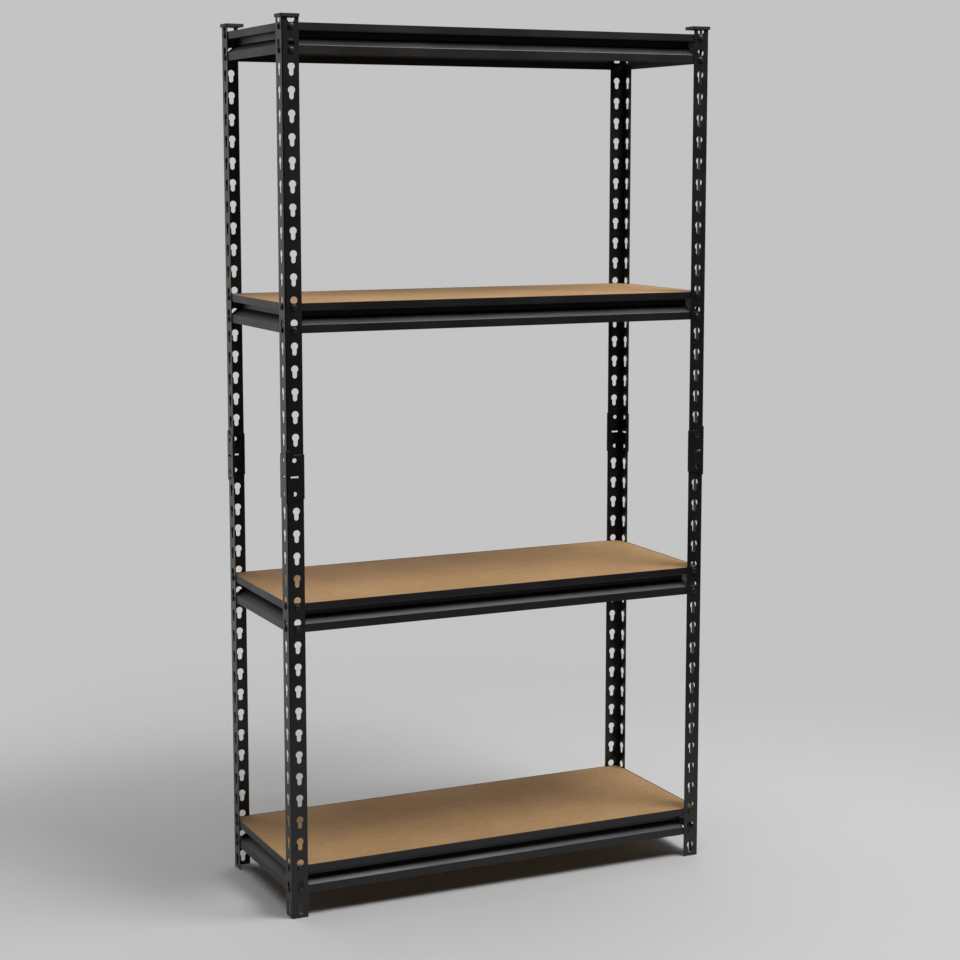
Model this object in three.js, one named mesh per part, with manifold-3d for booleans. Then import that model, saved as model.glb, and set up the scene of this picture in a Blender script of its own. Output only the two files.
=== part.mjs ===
// Boltless steel shelving: four keyhole-slotted angle posts, each in two halves joined by a
// coupler, four levels of riveted edge beams, and a particle-board deck dropped into each level.
// Units are millimetres and +Z is up. The origin is on the floor, under the middle of the unit.
// X runs along the width and -Y is the front.

import * as THREE from "three";
import { mergeVertices } from "three/addons/utils/BufferGeometryUtils.js";
import Module from "manifold-3d";

const wasm = await Module();
wasm.setup();

// Whole unit, over the outer faces of the posts.
const WIDTH = 805;
const DEPTH = 309.5;
const GAP = 0.3; // air between two pieces that touch
const SHEET = 1.2; // thickness of every folded steel piece
const OVERCUT = 1; // how far a cutter runs past the face that it opens

// Posts: equal angles, punched with keyholes at one pitch on both flanges.
const FLANGE = 29.5;
const PITCH = 38.1;
const KEYHOLES = 20; // in each half post
const LOWER_TOP = 762; // top end of the lower half
const UPPER_BOTTOM = 768; // bottom end of the upper half
const POST_TOP = 1525;
const LOWER_FIRST_KEY = 740.6; // height of the middle of the lower half's topmost keyhole
const UPPER_FIRST_KEY = 1513;

// Keyholes: a round mouth over a narrower slot.
const KEY_HEIGHT = 21.6;
const MOUTH_RADIUS = 6.25;
const SLOT_WIDTH = 7.8;
const NECK_DROP = 5.3; // from the mouth's centre down to the top of the slot
const KEY_INSET = 16; // from the post's outer corner to the keyhole's centre line

// Rivets: a shank in the slot and a low head outside the flange.
const SHANK_RADIUS = 3.2;
const SHANK_SIDES = 6;
const SHANK_SINK = 0.9; // how far the shank is set into the beam's sheet
const HEAD_RADIUS = 5.3;
const HEAD_CROWN_RADIUS = 3.3;
const HEAD_HEIGHT = 2.6;
const HEAD_SIDES = 8;
const RIVET_DROP = 6.5; // from the beam's top edge to the upper rivet

// Beams: lip, ledge, web, slope and band, folded from one strip.
const BEAM_HEIGHT = 50;
const LIP_HEIGHT = 13.2;
const BAND_HEIGHT = 13.8;
const RECESS_DEPTH = 16;
const WEB_HEIGHT = 10.2;
const LONG_COPE = 30.5; // from the post's outer corner to a long beam's folded middle
const SHORT_COPE = 21; // the same on a short beam, whose middle closes the corner
const BEAM_END_INSET = 3.2; // from the post's outer face to the end of the beam's tabs

// Decks, held inside the lips and resting on the ledges.
const DECK_THICKNESS = 11.5;
const DECK_INSET = 3.2;

// Couplers: an L sleeve outside the post joint, hemmed round the flange edges.
const JOINT_HEIGHT = (LOWER_TOP + UPPER_BOTTOM) / 2;
const COUPLER_CORNER_HEIGHT = 89;
const COUPLER_FLANGE_HEIGHT = 75;
const COUPLER_SHOULDER = 7; // width of the tall part, from the post's corner
const COUPLER_SLOPE = 5; // width of the sloped step from the tall part to the flange part
const HEM_RETURN = 3.4; // how far the hem comes back inside the flange
const COUPLER_HOLE_RADIUS = 3.8;
const COUPLER_HOLE_SIDES = 10;
const COUPLER_CUTTER = 14; // length of the cutter for a hole or a slit, centred on the flange
const COUPLER_HOLE_RISE = 28.4;
const COUPLER_HOLE_INSET = 13;
const SLIT_WIDTH = 14;
const SLIT_HEIGHT = 3.4;
const STOP_DEPTH = 3.4; // how far the slit's bent edges reach in between the post halves
const STOP_THICKNESS = 1;

// Caps: shallow square covers with a groove that grips the post.
const CAP_OVERHANG = 2.6; // outside the post's faces
const CAP_INNER_END = 30.8; // from the post's outer corner
const CAP_SKIRT = 5.7;
const CAP_PLATE = 1;
const CAP_OUTER_WALL = 2.1;
const CAP_INNER_WALL = 1;
const CAP_RIB_WALL = 1.2;
const CAP_RIB_END = 25;

// Each level hangs in two neighbouring keyholes of one half post, counted down from its top.
const LEVELS = [
  { name: "top", firstKey: UPPER_FIRST_KEY, index: 0 },
  { name: "upper", firstKey: UPPER_FIRST_KEY, index: 12 },
  { name: "lower", firstKey: LOWER_FIRST_KEY, index: 5 },
  { name: "bottom", firstKey: LOWER_FIRST_KEY, index: 17 },
];

// The corners in order round the unit, each a quarter turn from the one before.
const CORNERS = [
  { name: "front_left", x: -WIDTH / 2, y: -DEPTH / 2 },
  { name: "front_right", x: WIDTH / 2, y: -DEPTH / 2 },
  { name: "rear_right", x: WIDTH / 2, y: DEPTH / 2 },
  { name: "rear_left", x: -WIDTH / 2, y: DEPTH / 2 },
];

const QUARTER = Math.PI / 2;

const blackSteel = { color: 0x1b1b1c, roughness: 0.45, metalness: 0.2 };
const beamSteel = { color: 0x1e1e1f, roughness: 0.4, metalness: 0.2 };
const blackPlastic = { color: 0x141414, roughness: 0.6, metalness: 0 };
const particleBoard = { color: 0xb99569, roughness: 0.8, metalness: 0 };

// ---- closed geometries to solids and back ----

function toSolid(geometry) {
  const bare = geometry.clone();
  bare.deleteAttribute("normal");
  bare.deleteAttribute("uv");
  const merged = mergeVertices(bare, 1e-4);
  const vertProperties = Float32Array.from(merged.attributes.position.array);
  const triVerts = Uint32Array.from(merged.index.array);
  return new wasm.Manifold(new wasm.Mesh({ numProp: 3, vertProperties, triVerts }));
}

function toGeometry(solid) {
  const mesh = solid.getMesh();
  const geometry = new THREE.BufferGeometry();
  geometry.setAttribute("position", new THREE.BufferAttribute(mesh.vertProperties, 3));
  geometry.setIndex(new THREE.BufferAttribute(mesh.triVerts, 1));
  geometry.computeVertexNormals();
  return geometry;
}

function box(x0, y0, z0, x1, y1, z1) {
  const geometry = new THREE.BoxGeometry(x1 - x0, y1 - y0, z1 - z0);
  geometry.translate((x0 + x1) / 2, (y0 + y1) / 2, (z0 + z1) / 2);
  return toSolid(geometry);
}

function shapeOf(points) {
  return new THREE.Shape(points.map(([x, y]) => new THREE.Vector2(x, y)));
}

// A plan outline in X and Y, raised from one height to another.
function prism(points, z0, z1) {
  const settings = { depth: z1 - z0, bevelEnabled: false };
  const geometry = new THREE.ExtrudeGeometry(shapeOf(points), settings);
  geometry.translate(0, 0, z0);
  return toSolid(geometry);
}

// An upright plate in X and Z, whose thickness runs from one Y to another.
function plate(shape, y0, y1) {
  const geometry = new THREE.ExtrudeGeometry(shape, { depth: y1 - y0, bevelEnabled: false });
  geometry.rotateX(QUARTER);
  geometry.translate(0, y1, 0);
  return geometry;
}

// The same outline on the side flange: X and Y change places.
function swapXY(points) {
  return points.map(([x, y]) => [y, x]);
}

// A line moved sideways by a distance, mitred at its bends, and closed into a strip of sheet.
function strip(line, thickness) {
  const normals = [];
  for (let i = 0; i + 1 < line.length; i++) {
    const dx = line[i + 1][0] - line[i][0];
    const dy = line[i + 1][1] - line[i][1];
    const length = Math.hypot(dx, dy);
    normals.push([-dy / length, dx / length]);
  }
  const moved = line.map(([x, y], i) => {
    const a = normals[Math.max(i - 1, 0)];
    const b = normals[Math.min(i, normals.length - 1)];
    const scale = thickness / (1 + a[0] * b[0] + a[1] * b[1]);
    return [x + (a[0] + b[0]) * scale, y + (a[1] + b[1]) * scale];
  });
  return [...line, ...moved.reverse()];
}

// ---- posts ----

function keyhole(x, z) {
  const top = z + KEY_HEIGHT / 2;
  const bottom = z - KEY_HEIGHT / 2;
  const mouth = top - MOUTH_RADIUS;
  const neck = mouth - NECK_DROP;
  const half = SLOT_WIDTH / 2;
  const crown = MOUTH_RADIUS / 2;
  const right = [
    [half, bottom],
    [half, neck],
    [MOUTH_RADIUS, mouth],
    [crown, top],
  ];
  const left = right.map(([dx, dz]) => [-dx, dz]).reverse();
  return new THREE.Path([...right, ...left].map(([dx, dz]) => new THREE.Vector2(x + dx, dz)));
}

function halfPost(bottom, top, firstKey) {
  const face = shapeOf([[0, bottom], [FLANGE, bottom], [FLANGE, top], [0, top]]);
  for (let i = 0; i < KEYHOLES; i++) {
    face.holes.push(keyhole(KEY_INSET, firstKey - i * PITCH));
  }
  const front = plate(face, 0, SHEET);
  const side = plate(face, -SHEET, 0);
  side.rotateZ(QUARTER);
  return toGeometry(toSolid(front).add(toSolid(side)));
}

// ---- couplers ----

// Outside the post, round the flange's edge and back along its inner face.
function couplerHem() {
  const outside = -GAP;
  const edge = FLANGE + GAP;
  const inside = SHEET + GAP;
  const wall = SHEET;
  return [
    [outside - wall, outside - wall],
    [edge + wall, outside - wall],
    [edge + wall, inside + wall],
    [edge + wall - HEM_RETURN - wall, inside + wall],
    [edge + wall - HEM_RETURN - wall, inside],
    [edge, inside],
    [edge, outside],
    [outside, outside],
  ];
}

// Above or below the flange part, everything past the shoulder goes.
function couplerTrim(sign) {
  const reach = FLANGE + COUPLER_SHOULDER;
  const step = JOINT_HEIGHT + (sign * COUPLER_FLANGE_HEIGHT) / 2;
  const end = JOINT_HEIGHT + (sign * COUPLER_CORNER_HEIGHT) / 2;
  const past = end + sign * OVERCUT;
  const outline = shapeOf([
    [COUPLER_SHOULDER, past],
    [COUPLER_SHOULDER, end],
    [COUPLER_SHOULDER + COUPLER_SLOPE, step],
    [reach, step],
    [reach, past],
  ]);
  return plate(outline, -reach, reach);
}

function couplerHole(z) {
  const radius = COUPLER_HOLE_RADIUS;
  const geometry = new THREE.CylinderGeometry(
    radius,
    radius,
    COUPLER_CUTTER,
    COUPLER_HOLE_SIDES,
  );
  geometry.translate(COUPLER_HOLE_INSET, 0, z);
  return geometry;
}

function couplerSlit() {
  const geometry = new THREE.BoxGeometry(SLIT_WIDTH, COUPLER_CUTTER, SLIT_HEIGHT);
  geometry.translate(COUPLER_HOLE_INSET, 0, JOINT_HEIGHT);
  return geometry;
}

function couplerGeometry() {
  const low = JOINT_HEIGHT - COUPLER_CORNER_HEIGHT / 2;
  const high = JOINT_HEIGHT + COUPLER_CORNER_HEIGHT / 2;
  const hem = couplerHem();
  let sleeve = prism(hem, low, high).add(prism(swapXY(hem), low, high));
  const cuts = [couplerSlit()];
  for (const sign of [-1, 1]) {
    cuts.push(couplerTrim(sign));
    cuts.push(couplerHole(JOINT_HEIGHT + sign * COUPLER_HOLE_RISE));
  }
  // Every cutter is centred on the front flange's face, so a quarter turn gives the side's.
  for (const cut of cuts) {
    const turned = cut.clone();
    turned.rotateZ(QUARTER);
    sleeve = sleeve.subtract(toSolid(cut)).subtract(toSolid(turned));
  }
  const slit0 = COUPLER_HOLE_INSET - SLIT_WIDTH / 2;
  const slit1 = COUPLER_HOLE_INSET + SLIT_WIDTH / 2;
  const back = -GAP - SHEET / 2;
  for (const sign of [-1, 1]) {
    const near = JOINT_HEIGHT + (sign * SLIT_HEIGHT) / 2;
    const far = near + sign * STOP_THICKNESS;
    const z0 = Math.min(near, far);
    const z1 = Math.max(near, far);
    sleeve = sleeve.add(box(slit0, back, z0, slit1, STOP_DEPTH, z1));
    sleeve = sleeve.add(box(back, slit0, z0, STOP_DEPTH, slit1, z1));
  }
  return toGeometry(sleeve);
}

// ---- caps ----

function capGeometry() {
  const top = POST_TOP + GAP + CAP_PLATE;
  const skirt = top - CAP_SKIRT;
  const plateUnder = top - CAP_PLATE;
  const outer = -CAP_OVERHANG;
  const inner = CAP_INNER_END;
  const shell = box(outer, outer, skirt, inner, inner, top);
  const hollow0 = outer + CAP_OUTER_WALL;
  const hollow1 = inner - CAP_INNER_WALL;
  const hollow = box(hollow0, hollow0, skirt - OVERCUT, hollow1, hollow1, plateUnder);
  const rib0 = SHEET + GAP;
  const rib1 = rib0 + CAP_RIB_WALL;
  const ribs = box(rib0, rib0, skirt, CAP_RIB_END, rib1, top).add(
    box(rib0, rib0, skirt, rib1, CAP_RIB_END, top),
  );
  return toGeometry(shell.subtract(hollow).add(ribs));
}

// ---- beams ----

// The front of the section, from the lip's top edge down: depth behind the outer face, height.
function beamFace() {
  const slopeTop = -LIP_HEIGHT - WEB_HEIGHT;
  const bandTop = -BEAM_HEIGHT + BAND_HEIGHT;
  return [
    [0, 0],
    [0, -LIP_HEIGHT],
    [RECESS_DEPTH, -LIP_HEIGHT],
    [RECESS_DEPTH, slopeTop],
    [0, bandTop],
    [0, -BEAM_HEIGHT],
  ];
}

function beamStrip(length) {
  const section = shapeOf(strip(beamFace(), SHEET));
  const geometry = new THREE.ExtrudeGeometry(section, { depth: length, bevelEnabled: false });
  geometry.translate(0, 0, -length / 2);
  geometry.rotateX(QUARTER);
  geometry.rotateZ(QUARTER);
  return toSolid(geometry);
}

// Takes the folded middle away near one end, so that only the two tabs reach the post.
function beamCope(sign, span, cope) {
  const middle = sign * (span / 2 - cope);
  const end = (sign * span) / 2;
  const x0 = Math.min(middle, end);
  const x1 = Math.max(middle, end);
  const deep = RECESS_DEPTH + SHEET + OVERCUT;
  const bandTop = -BEAM_HEIGHT + BAND_HEIGHT;
  const fold = 2 * SHEET;
  const between = box(x0, -OVERCUT, bandTop, x1, deep, -LIP_HEIGHT);
  const behind = box(x0, SHEET, bandTop - fold, x1, deep, -LIP_HEIGHT + fold);
  return between.add(behind);
}

// A rivet set in the beam's outer face: its shank passes the flange to a head outside it.
function rivet(x, z) {
  const headBack = -2 * GAP - SHEET;
  const shankFront = headBack - HEAD_HEIGHT / 2;
  const shankBack = SHANK_SINK;
  const length = shankBack - shankFront;
  const shank = new THREE.CylinderGeometry(SHANK_RADIUS, SHANK_RADIUS, length, SHANK_SIDES);
  shank.translate(x, (shankFront + shankBack) / 2, z);
  const head = new THREE.CylinderGeometry(
    HEAD_RADIUS,
    HEAD_CROWN_RADIUS,
    HEAD_HEIGHT,
    HEAD_SIDES,
  );
  head.rotateY(Math.PI / HEAD_SIDES);
  head.translate(x, headBack - HEAD_HEIGHT / 2, z);
  return toSolid(shank).add(toSolid(head));
}

function beamGeometry(span, cope) {
  let beam = beamStrip(span - 2 * BEAM_END_INSET);
  for (const sign of [-1, 1]) {
    beam = beam.subtract(beamCope(sign, span, cope));
    for (const row of [0, 1]) {
      beam = beam.add(rivet(sign * (span / 2 - KEY_INSET), -RIVET_DROP - row * PITCH));
    }
  }
  return toGeometry(beam);
}

// ---- decks ----

function deckGeometry() {
  const width = WIDTH - 2 * DECK_INSET;
  const depth = DEPTH - 2 * DECK_INSET;
  return new THREE.BoxGeometry(width, depth, DECK_THICKNESS);
}

// ---- assembly ----

function named(name, geometry, finish) {
  const mesh = new THREE.Mesh(geometry, new THREE.MeshStandardMaterial(finish));
  mesh.name = name;
  return mesh;
}

const shelving = new THREE.Group();

const cornerGeometries = [
  ["post", "upper", halfPost(UPPER_BOTTOM, POST_TOP, UPPER_FIRST_KEY), blackSteel],
  ["post", "lower", halfPost(0, LOWER_TOP, LOWER_FIRST_KEY), blackSteel],
  ["coupler", "", couplerGeometry(), blackSteel],
  ["cap", "", capGeometry(), blackPlastic],
];

CORNERS.forEach((corner, turn) => {
  const group = new THREE.Group();
  group.position.set(corner.x, corner.y, 0);
  group.rotation.z = turn * QUARTER;
  for (const [kind, half, geometry, finish] of cornerGeometries) {
    const name = [kind, corner.name, half].filter(Boolean).join("_");
    group.add(named(name, geometry, finish));
  }
  shelving.add(group);
});

const longBeam = beamGeometry(WIDTH, LONG_COPE);
const shortBeam = beamGeometry(DEPTH, SHORT_COPE);
const deck = deckGeometry();

// The outer face of a beam lies just inside the flange that it hangs on.
const FACE_INSET = SHEET + GAP;
const SIDES = [
  { name: "front", geometry: longBeam, x: 0, y: -DEPTH / 2 + FACE_INSET, turn: 0 },
  { name: "right", geometry: shortBeam, x: WIDTH / 2 - FACE_INSET, y: 0, turn: 1 },
  { name: "rear", geometry: longBeam, x: 0, y: DEPTH / 2 - FACE_INSET, turn: 2 },
  { name: "left", geometry: shortBeam, x: -WIDTH / 2 + FACE_INSET, y: 0, turn: 3 },
];

for (const level of LEVELS) {
  const group = new THREE.Group();
  const slotBottom = level.firstKey - level.index * PITCH - KEY_HEIGHT / 2;
  group.position.z = slotBottom + GAP + SHANK_RADIUS + RIVET_DROP;
  for (const side of SIDES) {
    const beam = named(`beam_${level.name}_${side.name}`, side.geometry, beamSteel);
    beam.position.set(side.x, side.y, 0);
    beam.rotation.z = side.turn * QUARTER;
    group.add(beam);
  }
  const board = named(`deck_${level.name}`, deck, particleBoard);
  board.position.z = -LIP_HEIGHT + SHEET + GAP + DECK_THICKNESS / 2;
  group.add(board);
  shelving.add(group);
}

export default shelving;
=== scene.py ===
"""Looks for the boltless steel shelving.

Every CAD node gets a fine piece of the same size in its place: rolled and punched sheet for the
posts, beams and couplers, moulded caps, domed rivets and particle-board decks with worn arrises.
Piece sizes are in millimetres in each piece's own frame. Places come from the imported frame.
"""

import math

import bmesh
import bpy
from mathutils import Matrix, Vector, noise


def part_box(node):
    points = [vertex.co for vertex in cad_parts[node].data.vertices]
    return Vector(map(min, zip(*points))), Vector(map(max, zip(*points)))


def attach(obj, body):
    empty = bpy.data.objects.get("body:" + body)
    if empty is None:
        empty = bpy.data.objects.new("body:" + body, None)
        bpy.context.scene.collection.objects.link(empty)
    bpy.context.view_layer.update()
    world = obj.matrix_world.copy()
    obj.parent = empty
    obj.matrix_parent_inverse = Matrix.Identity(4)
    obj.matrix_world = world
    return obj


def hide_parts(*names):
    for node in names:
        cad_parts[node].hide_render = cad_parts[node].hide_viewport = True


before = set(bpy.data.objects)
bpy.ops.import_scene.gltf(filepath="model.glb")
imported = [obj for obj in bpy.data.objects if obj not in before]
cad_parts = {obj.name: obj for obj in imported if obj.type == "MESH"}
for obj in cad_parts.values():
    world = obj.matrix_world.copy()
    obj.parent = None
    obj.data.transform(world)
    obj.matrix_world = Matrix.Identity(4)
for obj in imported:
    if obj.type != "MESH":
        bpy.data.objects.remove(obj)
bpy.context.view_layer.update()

MM = 0.001
QUARTER = math.pi / 2
CORNERS = ("front_left", "front_right", "rear_right", "rear_left")
LEVELS = ("top", "upper", "lower", "bottom")
SIDES = ("front", "right", "rear", "left")

# Sheet steel.
SHEET = 1.2
GAP = 0.3  # air between two pieces that touch
ARRIS = 0.18  # softened edge of every punched or sheared line
BEND_STEPS = 6
SHARP_ANGLE = math.radians(34)
HOLE_STEPS = 12  # in half of a round hole
CORNER_STEPS = 3  # in a small rounded corner

# Posts.
POST_BEND = 2.2
PITCH = 38.1
KEYHOLES = 20
FIRST_KEY_DROP = {"upper": 12.0, "lower": 21.4}  # from the half post's top end to its first keyhole
KEY_HEIGHT = 21.6
MOUTH_RADIUS = 6.25
MOUTH_STEPS = 11
SLOT_WIDTH = 7.8
SLOT_STEPS = 5
KEY_INSET = 16.0  # from the post's outer corner to the keyholes' centre line

# Beams.
BEAM_HEIGHT = 50.0
LIP_HEIGHT = 13.2
BAND_HEIGHT = 13.8
RECESS_DEPTH = 16.0
WEB_HEIGHT = 10.2
COPES = (30.5, 21.0)  # from the post's outer corner to the folded middle: long beam, short beam
TAB_INSET = 3.2
TAB_CORNER = 2.0
BEAM_OUTER_BEND = 1.8
BEAM_INNER_BEND = 0.6
FACE_INSET = SHEET + GAP  # from the post's outer face to the beam's

# Rivets.
RIVET_DROP = 6.5
HEAD_RADIUS = 5.3
HEAD_HEIGHT = 2.6
HEAD_RIM = 0.7
SHANK_RADIUS = 3.2
TAIL_RADIUS = 4.3
TAIL_HEIGHT = 0.9
RIVET_SEGMENTS = 24
DOME_STEPS = 5

# Couplers.
COUPLER_CORNER_HEIGHT = 89.0
COUPLER_FLANGE_HEIGHT = 75.0
COUPLER_SHOULDER = 7.0
COUPLER_SLOPE = 5.0
HEM_RETURN = 3.4
HEM_BEND = 1.9
COUPLER_BEND = 2.6
COUPLER_HOLE_RADIUS = 3.8
COUPLER_HOLE_RISE = 28.4
COUPLER_HOLE_INSET = 13.0
SLIT_WIDTH = 14.0
SLIT_HEIGHT = 3.4
SLIT_CORNER = 0.8
STOP_DEPTH = 3.4
STOP_THICKNESS = 1.0

# Caps.
CAP_OVERHANG = 2.6
CAP_CORNER = 2.2
CAP_TOP_ROUND = 0.9
CAP_PLATE = 1.0
CAP_OUTER_WALL = 2.1
CAP_INNER_WALL = 1.0
CAP_RIB_WALL = 1.2
CAP_RIB_END = 25.0
CAP_CORNER_STEPS = 6
CAP_ROUND_STEPS = 4

# Decks.
DECK_ARRIS = 0.45
DECK_CORNER = 0.8
DECK_STEP = 5.0
EASE_DROP = DECK_ARRIS / 3  # the top arris has one more ring, this far down
EASE_SHARE = 0.35  # and moved in by this much of the arris
WEAR_SPACING = 9.0  # size of the worn patches
WEAR_AMOUNT = 0.4  # of the arris, either way
WEAR_SIDE_STEP = 7  # keeps the wear below unlike the wear above
CHIP_DEPTH = 1.1
CHIP_THRESHOLD = 0.22

# Looks. A bump's distance is in metres, and a texture's scale is in cells to the metre.
STEEL_DARK = (0.0075, 0.0075, 0.008)
STEEL_LIGHT = (0.0115, 0.0115, 0.012)
COUPLER_DARK = (0.007, 0.007, 0.0075)
COUPLER_LIGHT = (0.011, 0.011, 0.0115)
COAT_SLOW_SCALE = 11.0
COAT_SLOW_LOW = 0.35
COAT_SLOW_HIGH = 0.65
COAT_PEEL_SCALE = 620.0
COAT_PEEL_STRENGTH = 0.22
COAT_PEEL_DISTANCE = 0.0002

CAP_ROUGHNESS = 0.5
CAP_SHADES = [(0.3, (0.010, 0.010, 0.011)), (0.7, (0.018, 0.018, 0.019))]
CAP_GRAIN_SCALE = 1400.0
CAP_GRAIN_STRENGTH = 0.4
CAP_GRAIN_DISTANCE = 0.0002

BOARD_SHADES = [
    (0.0, (0.27, 0.150, 0.062)),
    (0.45, (0.36, 0.212, 0.096)),
    (0.75, (0.42, 0.255, 0.120)),
    (1.0, (0.50, 0.32, 0.165)),
]
FLAKE_LAYERS = ((0.5, 95.0), (2.1, 140.0))  # turn about the vertical, scale
FLAKE_STRETCH = (1.0, 3.2, 1.6)
FLAKE_SHARE = 0.5
GRIT_SCALE = 900.0
PATCH_SCALE = 6.0
PATCH_SHARE = 1.4
BOARD_LOW = 0.9  # sums of patches, flakes and grit that get the first and last shades
BOARD_HIGH = 2.5
BOARD_SMOOTH = 0.58
BOARD_DULL = 0.74
BOARD_BUMP_STRENGTH = 0.18
BOARD_BUMP_DISTANCE = 0.0003


# ---- outlines ----

def arc(x, y, radius, start, end, steps):
    """Points on a circle from one angle to another."""
    turn = (end - start) / steps
    angles = [start + turn * i for i in range(steps + 1)]
    return [(x + radius * math.cos(a), y + radius * math.sin(a)) for a in angles]


def keyhole_half():
    """Right half of a keyhole, bottom to top, about the middle of its height."""
    half = SLOT_WIDTH / 2
    mouth = KEY_HEIGHT / 2 - MOUTH_RADIUS
    neck = -math.acos(half / MOUTH_RADIUS)
    slot = arc(0, -KEY_HEIGHT / 2 + half, half, -QUARTER, 0, SLOT_STEPS)
    return slot + arc(0, mouth, MOUTH_RADIUS, neck, QUARTER, MOUTH_STEPS)


def circle_half(radius):
    """Right half of a round hole, bottom to top, about its centre."""
    return arc(0, 0, radius, -QUARTER, QUARTER, HOLE_STEPS)


def slit_half():
    """Right half of a slit with rounded corners, bottom to top, about its centre."""
    x = SLIT_WIDTH / 2 - SLIT_CORNER
    y = SLIT_HEIGHT / 2 - SLIT_CORNER
    lower = arc(x, -y, SLIT_CORNER, -QUARTER, 0, CORNER_STEPS)
    upper = arc(x, y, SLIT_CORNER, 0, QUARTER, CORNER_STEPS)
    return [(0, -SLIT_HEIGHT / 2)] + lower + upper + [(0, SLIT_HEIGHT / 2)]


def rectangle(u0, u1, v0, v1):
    return [(u0, v0), (u1, v0), (u1, v1), (u0, v1)]


def punched(low, high, line, holes):
    """Two polygons that meet on the line through the holes' centres.

    low and high are the bottom and top edges, left to right, each with a point on the line.
    holes are (height, right half outline), from the bottom up.
    """
    left = [p for p in low if p[0] <= line]
    for height, half in holes:
        left += [(line - du, height + dv) for du, dv in half]
    left += [p for p in reversed(high) if p[0] <= line]
    right = [p for p in low if p[0] >= line]
    right += [p for p in reversed(high) if p[0] >= line]
    for height, half in reversed(holes):
        right += [(line + du, height + dv) for du, dv in reversed(half)]
    return [left, right]


def mirrored(polygons, middle=0.0):
    """The same polygons on the other side of a vertical line."""
    return [[(2 * middle - u, v) for u, v in reversed(polygon)] for polygon in polygons]


# ---- folded sheet ----

def filleted(corners, radii):
    """A folded line with an arc at each bend, as (point, normal) pairs.

    The normal points to the left of the line, which is the side that the sheet's thickness is on.
    """
    corners = [Vector(c) for c in corners]
    line = []

    def left_of(a, b):
        along = (b - a).normalized()
        return Vector((-along.y, along.x))

    line.append((corners[0], left_of(corners[0], corners[1])))
    for before, corner, after, radius in zip(corners, corners[1:], corners[2:], radii):
        back = (before - corner).normalized()
        ahead = (after - corner).normalized()
        half = back.angle(ahead) / 2
        centre = corner + (back + ahead).normalized() * (radius / math.sin(half))
        reach = radius / math.tan(half)
        first = corner + back * reach - centre
        last = corner + ahead * reach - centre
        start = math.atan2(first.y, first.x)
        turn = math.remainder(math.atan2(last.y, last.x) - start, 2 * math.pi)
        side = 1 if left_of(before, corner).dot(first) > 0 else -1
        for step in range(BEND_STEPS + 1):
            angle = start + turn * step / BEND_STEPS
            spoke = Vector((math.cos(angle), math.sin(angle)))
            line.append((centre + spoke * radius, spoke * side))
    line.append((corners[-1], left_of(corners[-2], corners[-1])))
    return line


def stations_of(line):
    """Distance along the folded line at each of its points."""
    stations = [0.0]
    for (a, _), (b, _) in zip(line, line[1:]):
        stations.append(stations[-1] + (b - a).length)
    return stations


def folder(line):
    """A function from (distance along the folded line, depth in the sheet) to a 2-D point."""
    stations = stations_of(line)

    def at(distance, depth):
        i = 0
        while i + 2 < len(stations) and stations[i + 1] < distance:
            i += 1
        share = (distance - stations[i]) / (stations[i + 1] - stations[i])
        point = line[i][0].lerp(line[i + 1][0], share)
        normal = line[i][1].lerp(line[i + 1][1], share).normalized()
        return point + normal * depth

    return at


def upright_fold(line):
    """Folds a blank about upright bends, so that a height in the blank stays a height."""
    at = folder(line)

    def fold(u, v, depth):
        point = at(u, depth)
        return (point.x, point.y, v)

    return fold


def mitre(before, here, after, distance):
    """How far a rim point moves so that both of its edges move inward by the distance."""
    sides = []
    for a, b in ((before, here), (here, after)):
        along = Vector((b[0] - a[0], b[1] - a[1])).normalized()
        sides.append(Vector((-along.y, along.x)))
    return (sides[0] + sides[1]) * (distance / (1 + sides[0].dot(sides[1])))


def add_sheet(mesh, polygons, fold):
    """Adds a closed sheet with softened rims to a bmesh.

    polygons are counter-clockwise in the unfolded blank and share their corner points.
    fold(u, v, depth) gives the place of a point of the blank.
    """
    index = {}
    points = []
    faces = []
    for polygon in polygons:
        face = []
        for u, v in polygon:
            key = (round(u, 3), round(v, 3))
            if key not in index:
                index[key] = len(points)
                points.append((u, v))
            if not face or face[-1] != index[key]:
                face.append(index[key])
        faces.append(face)
    edges = {(a, b) for face in faces for a, b in zip(face, face[1:] + face[:1])}
    rim = {a: b for a, b in edges if (b, a) not in edges}
    behind = {b: a for a, b in rim.items()}
    front, back, outer, inner = {}, {}, {}, {}
    for i, (u, v) in enumerate(points):
        move = Vector((0, 0))
        if i in rim:
            move = mitre(points[behind[i]], points[i], points[rim[i]], ARRIS)
            outer[i] = mesh.verts.new(fold(u, v, ARRIS))
            inner[i] = mesh.verts.new(fold(u, v, SHEET - ARRIS))
        front[i] = mesh.verts.new(fold(u + move.x, v + move.y, 0))
        back[i] = mesh.verts.new(fold(u + move.x, v + move.y, SHEET))
    for face in faces:
        mesh.faces.new([front[i] for i in face])
        mesh.faces.new([back[i] for i in reversed(face)])
    for a, b in rim.items():
        for near, far in ((front, outer), (outer, inner), (inner, back)):
            mesh.faces.new((near[b], near[a], far[a], far[b]))


# ---- solids ----

def add_rings(mesh, rings):
    """Joins rings of points into one closed skin, with a face over the first and the last."""
    loops = [[mesh.verts.new(p) for p in ring] for ring in rings]
    for near, far in zip(loops, loops[1:]):
        for i in range(len(near)):
            j = (i + 1) % len(near)
            mesh.faces.new((near[i], near[j], far[j], far[i]))
    mesh.faces.new(list(reversed(loops[0])))
    mesh.faces.new(loops[-1])


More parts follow.
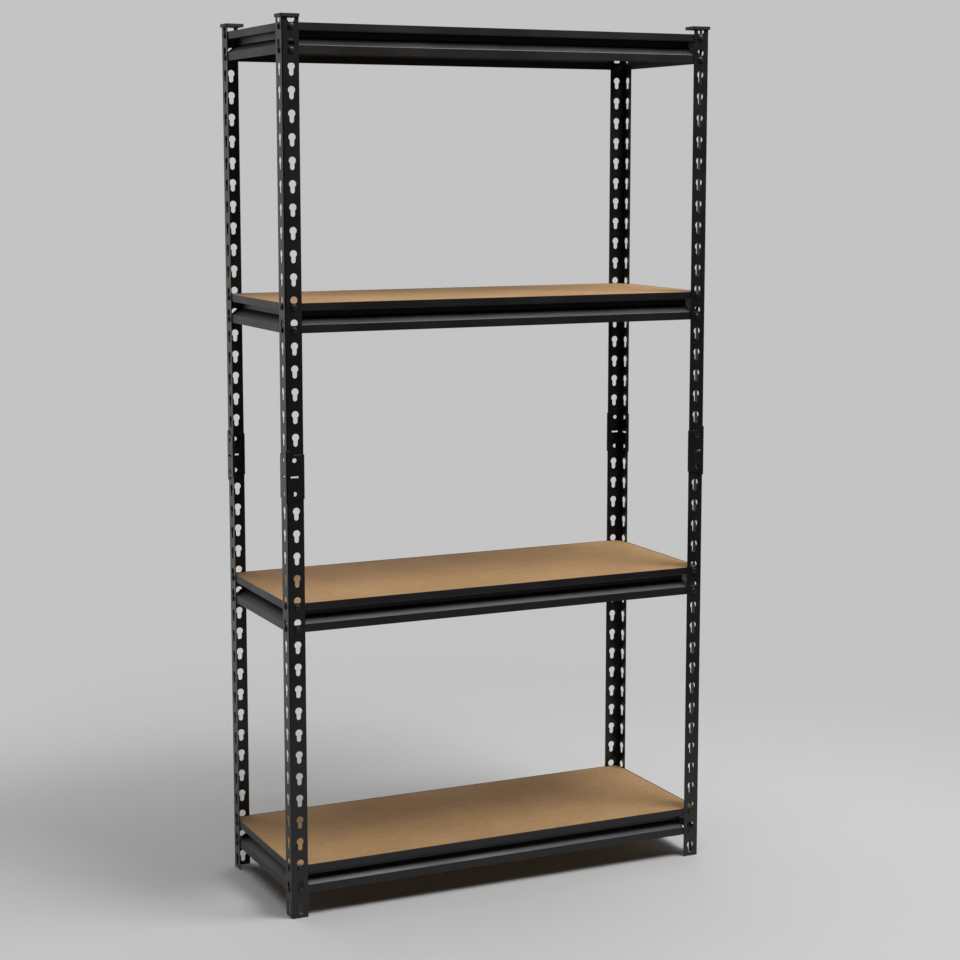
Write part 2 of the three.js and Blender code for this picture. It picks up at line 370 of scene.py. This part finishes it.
def add_block(mesh, low, high, arris):
    """A rectangular block, softened round its top and its bottom."""
    rings = []
    for z, inset in ((low[2], arris), (low[2] + arris, 0), (high[2] - arris, 0), (high[2], arris)):
        rings.append([
            (low[0] + inset, low[1] + inset, z),
            (high[0] - inset, low[1] + inset, z),
            (high[0] - inset, high[1] - inset, z),
            (low[0] + inset, high[1] - inset, z),
        ])
    add_rings(mesh, rings)


def add_piece(name, mesh, place, material, body, nodes=()):
    """Makes the finished mesh an object that rides on its body and stands for its CAD nodes."""
    mesh.transform(place)
    bmesh.ops.recalc_face_normals(mesh, faces=mesh.faces)
    data = bpy.data.meshes.new(name)
    mesh.to_mesh(data)
    mesh.free()
    data.materials.append(material)
    data.polygons.foreach_set("use_smooth", [True] * len(data.polygons))
    data.set_sharp_from_angle(angle=SHARP_ANGLE)
    piece = bpy.data.objects.new(name, data)
    bpy.context.scene.collection.objects.link(piece)
    weighted = piece.modifiers.new("flat faces stay flat", "WEIGHTED_NORMAL")
    weighted.keep_sharp = True
    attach(piece, body)
    if nodes:
        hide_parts(*nodes)
    return piece


def corner_place(turn, z=0.0):
    """Frame of one corner: its origin is the post's outer corner, with both flanges ahead."""
    low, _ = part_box("post_front_left_lower")
    _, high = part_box("post_rear_right_lower")
    x = (low.x, high.x, high.x, low.x)[turn]
    y = (low.y, low.y, high.y, high.y)[turn]
    turned = Matrix.Rotation(turn * QUARTER, 4, "Z")
    return Matrix.Translation((x, y, z)) @ turned @ Matrix.Scale(MM, 4)


# ---- posts ----

def half_post(node, half):
    """A rolled angle with keyholes down both flanges."""
    low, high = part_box(node)
    bottom = low.z / MM
    top = high.z / MM
    flange = (high.x - low.x) / MM
    line = filleted([(0, flange), (0, 0), (flange, 0)], [POST_BEND])
    stations = stations_of(line)
    keys = [top - FIRST_KEY_DROP[half] - i * PITCH for i in reversed(range(KEYHOLES))]
    cuts = [bottom] + [key + PITCH / 2 for key in keys[:-1]] + [top]
    bend_end = stations[-2]
    key_line = bend_end + KEY_INSET - POST_BEND
    middle = stations[-1] / 2
    outline = keyhole_half()
    polygons = []
    for z0, z1, key in zip(cuts, cuts[1:], keys):
        low_edge = [(u, z0) for u in (bend_end, key_line, stations[-1])]
        high_edge = [(u, z1) for u in (bend_end, key_line, stations[-1])]
        flat = punched(low_edge, high_edge, key_line, [(key, outline)])
        polygons += flat + mirrored(flat, middle)
        for u0, u1 in zip(stations[1:-2], stations[2:-1]):
            polygons.append(rectangle(u0, u1, z0, z1))
    mesh = bmesh.new()
    add_sheet(mesh, polygons, upright_fold(line))
    return mesh


# ---- couplers ----

def coupler(flange):
    """An L sleeve hemmed round both flange edges, about the middle of its height."""
    face = -GAP - SHEET
    edge = flange + GAP + SHEET
    hem = SHEET + GAP + SHEET
    end = edge - HEM_RETURN - SHEET
    corners = [
        (hem, end), (hem, edge), (face, edge), (face, face), (edge, face), (edge, hem), (end, hem),
    ]
    line = filleted(corners, [HEM_BEND, HEM_BEND, COUPLER_BEND, HEM_BEND, HEM_BEND])
    stations = stations_of(line)
    middle = stations[-1] / 2
    bend = BEND_STEPS + 1
    before_corner = 2 * bend  # the flat stretch between the second bend and the corner's
    after_corner = 3 * bend  # the flat stretch between the corner's bend and the fourth
    flat_start = stations[after_corner]
    flat_end = stations[after_corner + 1]
    tall = COUPLER_CORNER_HEIGHT / 2
    short = COUPLER_FLANGE_HEIGHT / 2

    def along(x):
        return flat_start + x - (face + COUPLER_BEND)

    key_line = along(COUPLER_HOLE_INSET)
    profile = [
        (flat_start, tall),
        (along(COUPLER_SHOULDER), tall),
        (along(COUPLER_SHOULDER + COUPLER_SLOPE), short),
        (key_line, short),
        (flat_end, short),
    ]
    hole = circle_half(COUPLER_HOLE_RADIUS)
    holes = [(-COUPLER_HOLE_RISE, hole), (0, slit_half()), (COUPLER_HOLE_RISE, hole)]
    flat = punched([(u, -v) for u, v in profile], profile, key_line, holes)
    polygons = flat + mirrored(flat, middle)
    for i in range(len(stations) - 1):
        u0 = stations[i]
        u1 = stations[i + 1]
        if i in (before_corner, after_corner):
            continue
        high = tall if before_corner < i < after_corner else short
        polygons.append(rectangle(u0, u1, -high, high))
    mesh = bmesh.new()
    add_sheet(mesh, polygons, upright_fold(line))
    low = COUPLER_HOLE_INSET - SLIT_WIDTH / 2
    high = COUPLER_HOLE_INSET + SLIT_WIDTH / 2
    root = -GAP - SHEET / 2
    for sign in (-1, 1):
        z0, z1 = sorted((sign * SLIT_HEIGHT / 2, sign * (SLIT_HEIGHT / 2 + STOP_THICKNESS)))
        add_block(mesh, (low, root, z0), (high, STOP_DEPTH, z1), ARRIS)
        add_block(mesh, (root, low, z0), (STOP_DEPTH, high, z1), ARRIS)
    return mesh


# ---- caps ----

def rounded_square(low, high, radius, z):
    """A ring of points at one height, round a square with rounded corners."""
    points = []
    centres = (
        (high - radius, high - radius),
        (low + radius, high - radius),
        (low + radius, low + radius),
        (high - radius, low + radius),
    )
    for quarter, (x, y) in enumerate(centres):
        turn = quarter * QUARTER
        corner = arc(x, y, radius, turn, turn + QUARTER, CAP_CORNER_STEPS)
        points += [(px, py, z) for px, py in corner]
    return points


def cap(node):
    """A shallow moulded cover, hollow below, with a rib that grips the post's inside."""
    low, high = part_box(node)
    bottom = low.z / MM
    top = high.z / MM
    size = (high.x - low.x) / MM
    outer = -CAP_OVERHANG
    inner = outer + size
    cavity = [
        rounded_square(outer + CAP_OUTER_WALL, inner - CAP_INNER_WALL, CAP_CORNER / 2, z)
        for z in (top - CAP_PLATE, bottom)
    ]
    walls = [(ARRIS, bottom), (0, bottom + ARRIS)]
    for x, z in arc(0, top - CAP_TOP_ROUND, CAP_TOP_ROUND, 0, QUARTER, CAP_ROUND_STEPS):
        walls.append((CAP_TOP_ROUND - x, z))
    rings = cavity + [
        rounded_square(outer + inset, inner - inset, CAP_CORNER - inset, z) for inset, z in walls
    ]
    mesh = bmesh.new()
    add_rings(mesh, rings)
    near = SHEET + GAP
    far = near + CAP_RIB_WALL
    ceiling = top - CAP_PLATE + GAP
    rib = [
        (near, near), (CAP_RIB_END, near), (CAP_RIB_END, far),
        (far, far), (far, CAP_RIB_END), (near, CAP_RIB_END),
    ]
    add_rings(mesh, [[(x, y, z) for x, y in rib] for z in (bottom, ceiling)])
    return mesh


# ---- beams ----

def beam_line():
    """The beam's face from the lip's top edge down, as depth behind the face and height."""
    slope_top = -LIP_HEIGHT - WEB_HEIGHT
    band_top = -BEAM_HEIGHT + BAND_HEIGHT
    corners = [
        (0, 0),
        (0, -LIP_HEIGHT),
        (RECESS_DEPTH, -LIP_HEIGHT),
        (RECESS_DEPTH, slope_top),
        (0, band_top),
        (0, -BEAM_HEIGHT),
    ]
    radii = [BEAM_OUTER_BEND, BEAM_INNER_BEND, BEAM_INNER_BEND, BEAM_OUTER_BEND]
    return filleted(corners, radii)


def tab_panel(end, middle, v0, v1, root):
    """A full-length panel between two heights. The root is the height of its edge at the fold."""
    r = TAB_CORNER
    right = arc(end - r, v0 + r, r, -QUARTER, 0, CORNER_STEPS)
    right += arc(end - r, v1 - r, r, 0, QUARTER, CORNER_STEPS)
    if root == v0:
        right = [(middle, v0)] + right
    else:
        right = right + [(middle, v1)]
    return right + [(-u, v) for u, v in reversed(right)]


def beam(span, cope):
    """A step beam folded from one strip, whose middle is coped away near the posts."""
    line = beam_line()
    stations = stations_of(line)
    at = folder(line)
    end = span / 2 - TAB_INSET
    middle = span / 2 - cope
    polygons = [tab_panel(end, middle, -stations[1], 0, -stations[1])]
    for i in range(1, len(line) - 2):
        v0 = -stations[i + 1]
        v1 = -stations[i]
        polygons.append(rectangle(-middle, middle, v0, v1))
    polygons.append(tab_panel(end, middle, -stations[-1], -stations[-2], -stations[-2]))

    def fold(u, v, depth):
        point = at(-v, depth)
        return (u, point.x, point.y)

    mesh = bmesh.new()
    add_sheet(mesh, polygons, fold)
    return mesh


def rivet_profile(with_tail):
    """Radius and depth from the crown of the head inward, about the beam's face."""
    back = -2 * GAP - SHEET
    crown = back - HEAD_HEIGHT
    shoulder = back - HEAD_RIM
    profile = []
    for step in range(1, DOME_STEPS + 1):
        angle = QUARTER * step / DOME_STEPS
        depth = shoulder - (shoulder - crown) * math.cos(angle)
        profile.append((HEAD_RADIUS * math.sin(angle), depth))
    profile += [(HEAD_RADIUS, back - ARRIS), (HEAD_RADIUS - ARRIS, back), (SHANK_RADIUS, back)]
    if with_tail:
        tail = SHEET + TAIL_HEIGHT
        profile += [(SHANK_RADIUS, SHEET), (TAIL_RADIUS, SHEET), (TAIL_RADIUS, tail - ARRIS * 2)]
        profile += [(TAIL_RADIUS - ARRIS * 2, tail)]
    else:
        profile += [(SHANK_RADIUS, SHEET + ARRIS / 2)]
    return profile


def rivets(span):
    """Both rivets at each end of a beam. Only the lower ones have room for a tail."""
    mesh = bmesh.new()
    for sign in (-1, 1):
        for row in (0, 1):
            x = sign * (span / 2 - KEY_INSET)
            z = -RIVET_DROP - row * PITCH
            rings = []
            for radius, depth in rivet_profile(with_tail=row == 1):
                turns = arc(x, z, radius, 0, 2 * math.pi, RIVET_SEGMENTS)[:-1]
                rings.append([(px, depth, pz) for px, pz in turns])
            add_rings(mesh, rings)
    return mesh


def beam_place(level, turn):
    """Frame and span of a beam: the origin is the middle of the lip's top edge, on its face."""
    low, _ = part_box("post_front_left_lower")
    _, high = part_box("post_rear_right_lower")
    width = high.x - low.x
    depth = high.y - low.y
    span, across = (width, depth) if turn % 2 == 0 else (depth, width)
    _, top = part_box(f"beam_{level}_{SIDES[turn]}")
    out = Vector((0, -across / 2 + FACE_INSET * MM, top.z))
    turned = Matrix.Rotation(turn * QUARTER, 4, "Z")
    return turned @ Matrix.Translation(out) @ Matrix.Scale(MM, 4), span / MM


# ---- decks ----

def deck_outline(width, depth):
    """Points round a board, with a point every few millimetres along its sides."""
    x = width / 2
    y = depth / 2
    r = DECK_CORNER
    ends = (
        ((x, -y + r), (x, y - r), (x - r, y - r), 0),
        ((x - r, y), (-x + r, y), (-x + r, y - r), 1),
        ((-x, y - r), (-x, -y + r), (-x + r, -y + r), 2),
        ((-x + r, -y), (x - r, -y), (x - r, -y + r), 3),
    )
    points = []
    for start, end, centre, turn in ends:
        start = Vector(start)
        end = Vector(end)
        steps = round((end - start).length / DECK_STEP)
        points += [start.lerp(end, i / steps) for i in range(steps)]
        angle = turn * QUARTER
        points += [Vector(p) for p in arc(*centre, r, angle, angle + QUARTER, CORNER_STEPS)[:-1]]
    return points


def deck(low, high, seed):
    """A board whose arrises are eased, and here and there chipped a little more."""
    size = (high - low) / MM
    outline = deck_outline(size.x, size.y)
    half = size.z / 2

    def inset(point, side):
        layer = seed + side * WEAR_SIDE_STEP
        rough = noise.noise(Vector((point.x / WEAR_SPACING, point.y / WEAR_SPACING, layer)))
        chip = max(0.0, rough - CHIP_THRESHOLD) * CHIP_DEPTH
        return DECK_ARRIS * (1 + WEAR_AMOUNT * rough) + chip

    def ring(z, side, share):
        points = []
        for point in outline:
            amount = inset(point, side) * share
            x = math.copysign(max(0.0, abs(point.x) - amount), point.x)
            y = math.copysign(max(0.0, abs(point.y) - amount), point.y)
            near_x = size.x / 2 - abs(point.x) < DECK_CORNER
            near_y = size.y / 2 - abs(point.y) < DECK_CORNER
            points.append((x if near_x else point.x, y if near_y else point.y, z))
        return points

    rings = [
        ring(-half, -1, 1.0),
        ring(-half + DECK_ARRIS, -1, 0.0),
        ring(half - DECK_ARRIS, 1, 0.0),
        ring(half - EASE_DROP, 1, EASE_SHARE),
        ring(half, 1, 1.0),
    ]
    mesh = bmesh.new()
    add_rings(mesh, rings)
    return mesh


# ---- materials ----

def add_node(tree, kind, inputs=None, **settings):
    """Adds a shader node. An input is another node's output, which is linked, or a constant."""
    made = tree.nodes.new(kind)
    for name, value in settings.items():
        setattr(made, name, value)
    for name, value in (inputs or {}).items():
        if isinstance(value, bpy.types.NodeSocket):
            tree.links.new(value, made.inputs[name])
        else:
            made.inputs[name].default_value = value
    return made


def add_ramp(tree, factor, stops):
    """Colours between the stops, which are (position, colour)."""
    made = add_node(tree, "ShaderNodeValToRGB", {"Fac": factor})
    elements = made.color_ramp.elements
    while len(elements) < len(stops):
        elements.new(0.5)
    for element, (position, colour) in zip(elements, stops):
        element.position = position
        element.color = (*colour, 1)
    return made.outputs["Color"]


def new_material(name, **sockets):
    """A material with constants on its shader's sockets, with its node tree and its shader."""
    made = bpy.data.materials.new(name)
    made.use_nodes = True
    shader = made.node_tree.nodes["Principled BSDF"]
    for socket, value in sockets.items():
        shader.inputs[socket].default_value = value
    return made, made.node_tree, shader


def powder_coat(name, dark, light, smooth, dull):
    """Satin black powder coat: a fine orange peel, with slow changes of gloss and depth."""
    made, tree, shader = new_material(name, **{"Specular IOR Level": 0.5})
    place = add_node(tree, "ShaderNodeTexCoord").outputs["Object"]
    slow = add_node(tree, "ShaderNodeTexNoise", {"Vector": place, "Scale": COAT_SLOW_SCALE, "Detail": 4.0})
    colour = add_ramp(tree, slow.outputs["Fac"], [(COAT_SLOW_LOW, dark), (COAT_SLOW_HIGH, light)])
    tree.links.new(colour, shader.inputs["Base Color"])
    gloss = add_node(tree, "ShaderNodeMapRange", {
        "Value": slow.outputs["Fac"], "From Min": COAT_SLOW_LOW, "From Max": COAT_SLOW_HIGH,
        "To Min": smooth, "To Max": dull,
    })
    tree.links.new(gloss.outputs["Result"], shader.inputs["Roughness"])
    peel = add_node(tree, "ShaderNodeTexNoise", {"Vector": place, "Scale": COAT_PEEL_SCALE, "Detail": 2.0})
    bump = add_node(tree, "ShaderNodeBump", {
        "Height": peel.outputs["Fac"], "Strength": COAT_PEEL_STRENGTH, "Distance": COAT_PEEL_DISTANCE,
    })
    tree.links.new(bump.outputs["Normal"], shader.inputs["Normal"])
    return made


def cap_plastic():
    """Black moulding with a fine spark-eroded texture."""
    made, tree, shader = new_material("cap_plastic", Roughness=CAP_ROUGHNESS)
    place = add_node(tree, "ShaderNodeTexCoord").outputs["Object"]
    grain = add_node(tree, "ShaderNodeTexNoise", {
        "Vector": place, "Scale": CAP_GRAIN_SCALE, "Detail": 3.0,
    })
    colour = add_ramp(tree, grain.outputs["Fac"], CAP_SHADES)
    tree.links.new(colour, shader.inputs["Base Color"])
    bump = add_node(tree, "ShaderNodeBump", {
        "Height": grain.outputs["Fac"], "Strength": CAP_GRAIN_STRENGTH, "Distance": CAP_GRAIN_DISTANCE,
    })
    tree.links.new(bump.outputs["Normal"], shader.inputs["Normal"])
    return made


def deck_board():
    """Sanded particle board: long flakes laid two ways, with fine grit between them."""
    made, tree, shader = new_material("deck_board", **{"Specular IOR Level": 0.3})
    place = add_node(tree, "ShaderNodeTexCoord").outputs["Object"]
    layers = []
    for turn, scale in FLAKE_LAYERS:
        laid = add_node(tree, "ShaderNodeMapping", {
            "Vector": place, "Rotation": (0, 0, turn), "Scale": FLAKE_STRETCH,
        })
        flakes = add_node(tree, "ShaderNodeTexVoronoi", {
            "Vector": laid.outputs["Vector"], "Scale": scale,
        })
        shade = add_node(tree, "ShaderNodeRGBToBW", {"Color": flakes.outputs["Color"]})
        layers.append(shade.outputs["Val"])
    patches = add_node(tree, "ShaderNodeTexNoise", {
        "Vector": place, "Scale": PATCH_SCALE, "Detail": 5.0,
    })
    grit = add_node(tree, "ShaderNodeTexNoise", {"Vector": place, "Scale": GRIT_SCALE, "Detail": 2.0})
    flake_mix = add_node(tree, "ShaderNodeMath", {0: layers[0], 1: layers[1]}, operation="ADD")
    fine = add_node(tree, "ShaderNodeMath", {
        0: flake_mix.outputs["Value"], 1: FLAKE_SHARE, 2: grit.outputs["Fac"],
    }, operation="MULTIPLY_ADD")
    total = add_node(tree, "ShaderNodeMath", {
        0: patches.outputs["Fac"], 1: PATCH_SHARE, 2: fine.outputs["Value"],
    }, operation="MULTIPLY_ADD")
    level = add_node(tree, "ShaderNodeMapRange", {
        "Value": total.outputs["Value"], "From Min": BOARD_LOW, "From Max": BOARD_HIGH,
    })
    colour = add_ramp(tree, level.outputs["Result"], BOARD_SHADES)
    tree.links.new(colour, shader.inputs["Base Color"])
    rough = add_node(tree, "ShaderNodeMapRange", {
        "Value": fine.outputs["Value"], "To Min": BOARD_SMOOTH, "To Max": BOARD_DULL,
    })
    tree.links.new(rough.outputs["Result"], shader.inputs["Roughness"])
    bump = add_node(tree, "ShaderNodeBump", {
        "Height": fine.outputs["Value"],
        "Strength": BOARD_BUMP_STRENGTH,
        "Distance": BOARD_BUMP_DISTANCE,
    })
    tree.links.new(bump.outputs["Normal"], shader.inputs["Normal"])
    return made


# ---- assembly ----

post_steel = powder_coat("post_steel", STEEL_DARK, STEEL_LIGHT, smooth=0.34, dull=0.42)
beam_steel = powder_coat("beam_steel", STEEL_DARK, STEEL_LIGHT, smooth=0.42, dull=0.50)
coupler_steel = powder_coat("coupler_steel", COUPLER_DARK, COUPLER_LIGHT, smooth=0.32, dull=0.40)
plastic = cap_plastic()
board = deck_board()


def add_corner(turn, corner):
    """The two halves of a post, the sleeve over their joint and the cap on top."""
    place = corner_place(turn)
    for half in ("upper", "lower"):
        node = f"post_{corner}_{half}"
        mesh = half_post(node, half)
        add_piece(f"{node}_rolled", mesh, place, post_steel, "frame", [node])
    node = f"coupler_{corner}"
    low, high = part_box(node)
    post_low, post_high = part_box(f"post_{corner}_lower")
    sleeve_place = corner_place(turn, (low.z + high.z) / 2)
    mesh = coupler((post_high.x - post_low.x) / MM)
    add_piece(f"{node}_sleeve", mesh, sleeve_place, coupler_steel, "frame", [node])
    node = f"cap_{corner}"
    add_piece(f"{node}_moulding", cap(node), place, plastic, "frame", [node])


def add_level(seed, level):
    """Four beams with their rivets, and the deck that lies in them."""
    body = f"level_{level}"
    for turn, side in enumerate(SIDES):
        place, span = beam_place(level, turn)
        node = f"beam_{level}_{side}"
        mesh = beam(span, COPES[turn % 2])
        add_piece(f"{node}_folded", mesh, place, beam_steel, body, [node])
        add_piece(f"rivets_{level}_{side}", rivets(span), place, beam_steel, body)
    node = f"deck_{level}"
    low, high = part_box(node)
    place = Matrix.Translation((low + high) / 2) @ Matrix.Scale(MM, 4)
    mesh = deck(low, high, seed)
    add_piece(f"{node}_board", mesh, place, board, f"board_{level}", [node])


for turn, corner in enumerate(CORNERS):
    add_corner(turn, corner)
for seed, level in enumerate(LEVELS):
    add_level(seed, level)


# ---- stage ----

# Places and sizes on the stage are in metres.
FLOOR_RADIUS = 7.0
FLOOR_SEGMENTS = 96
FLOOR_FADE_START = 0.8
FLOOR_FADE_END = 1.9
FLOOR_COLOUR = (0.54, 0.54, 0.54, 1)
FLOOR_ROUGHNESS = 0.7
BACKGROUND = (0.55, 0.55, 0.55)
SOFTBOXES = (
    # name, place, target, size, radiance
    ("ceiling", (0.2, 0.4, 4.2), (0.2, 0.4, 0), (6.0, 6.0), 1.5),
    ("key", (1.0, -1.15, 3.4), (0, 0, 0.8), (1.3, 1.3), 15.0),
    ("left wall", (-1.8, 1.9, 1.0), (-1.8, 0, 1.0), (2.8, 3.2), 0.67),
    ("back wall", (1.4, 3.0, 1.2), (1.0, 0, 1.0), (3.2, 2.6), 0.25),
    ("right wall", (3.0, -0.2, 1.2), (0, -0.2, 1.2), (3.0, 2.4), 0.40),
    ("front wall", (0.9, -4.8, 1.6), (0.9, 0, 1.6), (4.5, 3.0), 0.10),
)

CAMERA_PLACE = (-1.573, -3.410, 1.280)
CAMERA_YAW = math.radians(25.11)  # from +Y towards +X
CAMERA_PITCH = math.radians(7.51)  # downwards
CAMERA_LENS = 78.37  # in millimetres, as is the sensor
CAMERA_SENSOR = 36
CAMERA_SHIFT = -0.04


def add_floor():
    """A plain pale floor that thins out into the background within two metres."""
    made, tree, shader = new_material("floor", **{
        "Base Color": FLOOR_COLOUR, "Roughness": FLOOR_ROUGHNESS,
    })
    place = add_node(tree, "ShaderNodeTexCoord").outputs["Object"]
    reach = add_node(tree, "ShaderNodeVectorMath", {0: place}, operation="LENGTH")
    share = add_node(tree, "ShaderNodeMapRange", {
        "Value": reach.outputs["Value"], "From Min": FLOOR_FADE_START, "From Max": FLOOR_FADE_END,
    }, interpolation_type="SMOOTHSTEP")
    clear = add_node(tree, "ShaderNodeBsdfTransparent")
    mix = add_node(tree, "ShaderNodeMixShader", {
        0: share.outputs["Result"], 1: shader.outputs["BSDF"], 2: clear.outputs["BSDF"],
    })
    output = tree.nodes["Material Output"]
    tree.links.new(mix.outputs["Shader"], output.inputs["Surface"])
    mesh = bmesh.new()
    bmesh.ops.create_circle(mesh, cap_ends=True, segments=FLOOR_SEGMENTS, radius=FLOOR_RADIUS)
    data = bpy.data.meshes.new("floor")
    mesh.to_mesh(data)
    mesh.free()
    data.materials.append(made)
    floor = bpy.data.objects.new("floor", data)
    bpy.context.scene.collection.objects.link(floor)


def add_softbox(name, place, target, size, radiance):
    """A studio panel of an even brightness, whose own rectangle isn't seen by the camera."""
    data = bpy.data.lights.new(name, "AREA")
    data.shape = "RECTANGLE"
    data.size, data.size_y = size
    data.energy = radiance * math.pi * size[0] * size[1]
    light = bpy.data.objects.new(name, data)
    light.location = place
    light.rotation_euler = (Vector(target) - Vector(place)).to_track_quat("-Z", "Y").to_euler()
    light.visible_camera = False
    bpy.context.scene.collection.objects.link(light)


def add_world():
    """A plain backdrop. The panels give all the light, so that recesses stay dark."""
    world = bpy.data.worlds.new("studio")
    world.use_nodes = True
    world.node_tree.nodes["Background"].inputs["Color"].default_value = (*BACKGROUND, 1)
    world.cycles_visibility.diffuse = False
    world.cycles_visibility.glossy = False
    bpy.context.scene.world = world


def add_camera():
    """Three-quarter view from the front left, looking a little down."""
    data = bpy.data.cameras.new("camera")
    data.sensor_width = CAMERA_SENSOR
    data.lens = CAMERA_LENS
    data.shift_y = CAMERA_SHIFT
    camera = bpy.data.objects.new("camera", data)
    camera.location = CAMERA_PLACE
    camera.rotation_euler = (QUARTER - CAMERA_PITCH, 0, -CAMERA_YAW)
    bpy.context.scene.collection.objects.link(camera)
    bpy.context.scene.camera = camera


add_floor()
add_world()
for softbox in SOFTBOXES:
    add_softbox(*softbox)
add_camera()
bpy.context.scene.view_settings.view_transform = "Standard"
